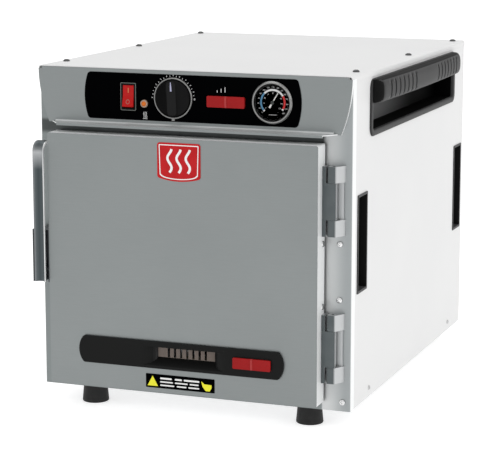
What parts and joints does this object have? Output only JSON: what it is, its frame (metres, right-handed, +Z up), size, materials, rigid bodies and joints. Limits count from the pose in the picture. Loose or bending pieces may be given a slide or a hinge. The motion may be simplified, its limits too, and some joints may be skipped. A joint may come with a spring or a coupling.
{
  "type": "food holding cabinet",
  "caption": "Countertop insulated food holding cabinet with hinged door, edge latch, vent sliders, thermostat knob, round gauge, side grips and rubber feet.",
  "frame": {"origin": "on the resting surface, under the middle of the whole cabinet's box", "axes": "+Z up, -Y out of the door, +X to the right as seen from the front (the hinge side)"},
  "size_m": [0.5216, 0.661, 0.5093],
  "materials": {
    "front_metal": "satin",
    "casing_white": "satin",
    "bare_steel": "brushed",
    "overlay_black": "semi-gloss",
    "grip_plastic": "matte",
    "pocket_plastic": "matte",
    "knob_plastic": "satin",
    "red_plastic": "semi-gloss",
    "chrome": "polished",
    "hinge_metal": "satin",
    "latch_metal": "satin",
    "feet_rubber": "matte",
    "gasket_rubber": "matte",
    "wool": "fibrous",
    "motor_paint": "satin",
    "brass": "satin",
    "amber": "gloss",
    "clear": "clear",
    "badge_red": "gloss",
    "plate_black": "satin",
    "white_print": "satin"
  },
  "bodies": {
    "cabinet": {"side_panel_left": "casing_white", "side_panel_right": "casing_white", "back_panel": "casing_white", "base_pan": "bare_steel", "top_cover": "casing_white", "front_frame": "front_metal", "console_panel": "front_metal", "console_overlay": "overlay_black", "cavity_liner": "bare_steel", "insulation": "wool", "control_shelf": "bare_steel", "pan_slide_left": "bare_steel", "pan_slide_right": "bare_steel", "rear_baffle": "bare_steel", "heater_element": "motor_paint", "fan_motor": "motor_paint", "switch_housing": "overlay_black", "indicator_bezel": "chrome", "indicator_lens": "amber", "dial_ring": "chrome", "thermostat": "brass", "gauge_case": "chrome", "gauge_glass": "clear", "vent_duct": "bare_steel", "grip_left": "grip_plastic", "grip_right": "grip_plastic", "side_pockets_left": "pocket_plastic", "side_pockets_right": "pocket_plastic", "feet": "feet_rubber", "foot_studs": "chrome", "casing_screws": "grip_plastic", "hinge_screws": "chrome", "hinge_base_upper": "hinge_metal", "hinge_base_lower": "hinge_metal", "hinge_pins": "chrome", "latch_strike": "chrome", "power_inlet": "grip_plastic"},
    "fan": {"fan_wheel": "bare_steel"},
    "rocker": {"power_rocker": "red_plastic"},
    "knob": {"thermostat_knob": "knob_plastic"},
    "needle": {"gauge_needle": "white_print"},
    "console_vent": {"console_vent_slider": "red_plastic", "console_vent_damper": "bare_steel"},
    "door": {"door_skin": "front_metal", "door_liner": "bare_steel", "door_insulation": "wool", "door_gasket": "gasket_rubber", "door_badge": "badge_red", "caution_plate": "plate_black", "door_vent": "overlay_black", "hinge_leaf_upper": "hinge_metal", "hinge_leaf_lower": "hinge_metal", "door_screws": "chrome", "latch_body": "latch_metal", "latch_pin": "chrome"},
    "door_vent_slide": {"door_vent_slider": "red_plastic", "door_vent_shutter": "bare_steel"},
    "lever": {"latch_lever": "latch_metal"},
    "plunger": {"latch_plunger": "chrome"}
  },
  "joints": [
    {"name": "door_hinge", "type": "hinge", "parent": "cabinet", "child": "door", "pos_m": [0.2155, -0.298, 0.2264], "axis": [0, 0, 1], "range_deg": [0, 135]},
    {"name": "latch_lever", "type": "hinge", "parent": "door", "child": "lever", "pos_m": [-0.22622, -0.3145, 0.208], "axis": [1, 0, 0], "range_deg": [0, 20], "stiffness_Nm_per_rad": 0.3, "springref_deg": -20.05},
    {"name": "latch_plunger", "type": "slide", "parent": "door", "child": "plunger", "axis": [0, 1, 0], "range_m": [0, 0.004]},
    {"name": "thermostat_knob", "type": "hinge", "parent": "cabinet", "child": "knob", "pos_m": [-0.027, -0.2985, 0.4655], "axis": [0, 1, 0], "range_deg": [-95, 95]},
    {"name": "power_rocker", "type": "hinge", "parent": "cabinet", "child": "rocker", "pos_m": [-0.0958, -0.2885, 0.4655], "axis": [1, 0, 0], "range_deg": [0, 16]},
    {"name": "console_vent_slide", "type": "slide", "parent": "cabinet", "child": "console_vent", "axis": [1, 0, 0], "range_m": [-0.012, 0]},
    {"name": "door_vent_slide", "type": "slide", "parent": "door", "child": "door_vent_slide", "axis": [1, 0, 0], "range_m": [-0.0048, 0]},
    {"name": "gauge_needle", "type": "hinge", "parent": "cabinet", "child": "needle", "pos_m": [0.1228, -0.2916, 0.4655], "axis": [0, 1, 0], "range_deg": [-166, 104], "stiffness_Nm_per_rad": 0.002},
    {"name": "fan_spin", "type": "hinge", "parent": "cabinet", "child": "fan", "pos_m": [0, 0.2735, 0.231], "axis": [0, 1, 0], "continuous": true}
  ],
  "couplings": [
    {"joint": "latch_plunger", "follows": "latch_lever", "m_per_rad": 0.01145}
  ]
}
